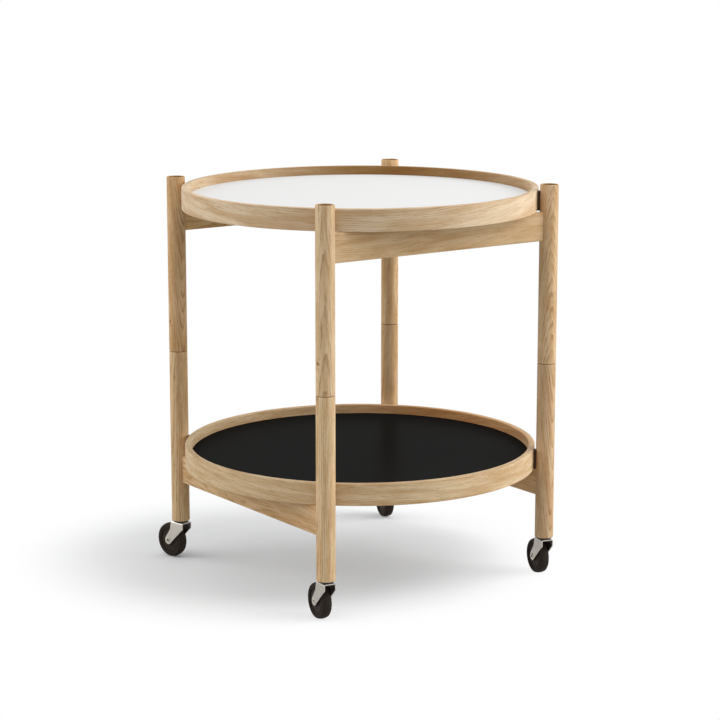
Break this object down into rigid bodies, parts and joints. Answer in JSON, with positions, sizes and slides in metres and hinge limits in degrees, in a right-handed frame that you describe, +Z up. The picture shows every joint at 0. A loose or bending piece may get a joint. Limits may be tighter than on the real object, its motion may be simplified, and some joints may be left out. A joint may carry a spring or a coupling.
{
  "type": "tray table",
  "caption": "Round tray table: a shallow oak-rimmed tray over a lower tray, both lift-off, on a round-legged oak frame that rolls on swivel casters.",
  "frame": {"origin": "on the floor under the centre of the trays", "axes": "+Z up; +Y towards the back, +X to the right; the rails run along X and Y"},
  "size_m": [0.5, 0.5, 0.562],
  "materials": {
    "oak": "oiled, satin",
    "core_board": "raw fibreboard",
    "white_laminate": "satin",
    "black_laminate": "satin",
    "bumper_leather": "smooth",
    "fork_steel": "nickel plated, satin",
    "zinc_steel": "zinc plated",
    "brass": "turned",
    "nylon": "matt",
    "wheel_plastic": "moulded, matt",
    "tyre_rubber": "moulded, matt"
  },
  "bodies": {
    "frame": {"upper_leg_front_left": "oak", "lower_leg_front_left": "oak", "upper_leg_front_right": "oak", "lower_leg_front_right": "oak", "upper_leg_back_right": "oak", "lower_leg_back_right": "oak", "upper_leg_back_left": "oak", "lower_leg_back_left": "oak", "upper_rail_front": "oak", "upper_rail_back": "oak", "lower_rail_left": "oak", "lower_rail_right": "oak", "pivot_pins": "zinc_steel", "pivot_bushes": "brass", "pivot_inserts": "brass", "pivot_washers": "nylon", "upper_bumpers": "bumper_leather", "lower_bumpers": "bumper_leather", "caster_sockets": "zinc_steel", "caster_grip_rings": "zinc_steel", "caster_collars": "nylon"},
    "upper_tray": {"upper_tray_rim": "oak", "upper_tray_core": "core_board", "upper_tray_top_laminate": "white_laminate", "upper_tray_under_laminate": "black_laminate"},
    "lower_tray": {"lower_tray_rim": "oak", "lower_tray_core": "core_board", "lower_tray_top_laminate": "black_laminate", "lower_tray_under_laminate": "white_laminate"},
    "caster_swivel_front_left": {"caster_fork_front_left": "fork_steel", "caster_stem_front_left": "zinc_steel", "caster_axle_front_left": "fork_steel"},
    "caster_wheel_front_left": {"caster_hub_front_left": "wheel_plastic", "caster_tyre_front_left": "tyre_rubber"},
    "caster_swivel_front_right": {"caster_fork_front_right": "fork_steel", "caster_stem_front_right": "zinc_steel", "caster_axle_front_right": "fork_steel"},
    "caster_wheel_front_right": {"caster_hub_front_right": "wheel_plastic", "caster_tyre_front_right": "tyre_rubber"},
    "caster_swivel_back_right": {"caster_fork_back_right": "fork_steel", "caster_stem_back_right": "zinc_steel", "caster_axle_back_right": "fork_steel"},
    "caster_wheel_back_right": {"caster_hub_back_right": "wheel_plastic", "caster_tyre_back_right": "tyre_rubber"},
    "caster_swivel_back_left": {"caster_fork_back_left": "fork_steel", "caster_stem_back_left": "zinc_steel", "caster_axle_back_left": "fork_steel"},
    "caster_wheel_back_left": {"caster_hub_back_left": "wheel_plastic", "caster_tyre_back_left": "tyre_rubber"}
  },
  "joints": [
    {"name": "upper_tray_lift", "type": "slide", "parent": "frame", "child": "upper_tray", "axis": [0, 0, 1], "range_m": [0, 0.2]},
    {"name": "lower_tray_lift", "type": "slide", "parent": "frame", "child": "lower_tray", "axis": [0, 0, 1], "range_m": [0, 0.29]},
    {"name": "caster_swivel_front_left_turn", "type": "hinge", "parent": "frame", "child": "caster_swivel_front_left", "pos_m": [-0.18802, -0.18802, 0.0555], "axis": [0, 0, 1], "continuous": true},
    {"name": "caster_wheel_front_left_roll", "type": "hinge", "parent": "caster_swivel_front_left", "child": "caster_wheel_front_left", "pos_m": [-0.18538, -0.1692, 0.025], "axis": [0.9903, -0.1392, 0], "continuous": true},
    {"name": "caster_swivel_front_right_turn", "type": "hinge", "parent": "frame", "child": "caster_swivel_front_right", "pos_m": [0.18802, -0.18802, 0.0555], "axis": [0, 0, 1], "continuous": true},
    {"name": "caster_wheel_front_right_roll", "type": "hinge", "parent": "caster_swivel_front_right", "child": "caster_wheel_front_right", "pos_m": [0.19262, -0.16958, 0.025], "axis": [0.9703, -0.2419, 0], "continuous": true},
    {"name": "caster_swivel_back_right_turn", "type": "hinge", "parent": "frame", "child": "caster_swivel_back_right", "pos_m": [0.18802, 0.18802, 0.0555], "axis": [0, 0, 1], "continuous": true},
    {"name": "caster_wheel_back_right_roll", "type": "hinge", "parent": "caster_swivel_back_right", "child": "caster_wheel_back_right", "pos_m": [0.19294, 0.20637, 0.025], "axis": [0.9659, -0.2588, 0], "continuous": true},
    {"name": "caster_swivel_back_left_turn", "type": "hinge", "parent": "frame", "child": "caster_swivel_back_left", "pos_m": [-0.18802, 0.18802, 0.0555], "axis": [0, 0, 1], "continuous": true},
    {"name": "caster_wheel_back_left_roll", "type": "hinge", "parent": "caster_swivel_back_left", "child": "caster_wheel_back_left", "pos_m": [-0.19197, 0.2066, 0.025], "axis": [0.9781, 0.2079, 0], "continuous": true}
  ]
}
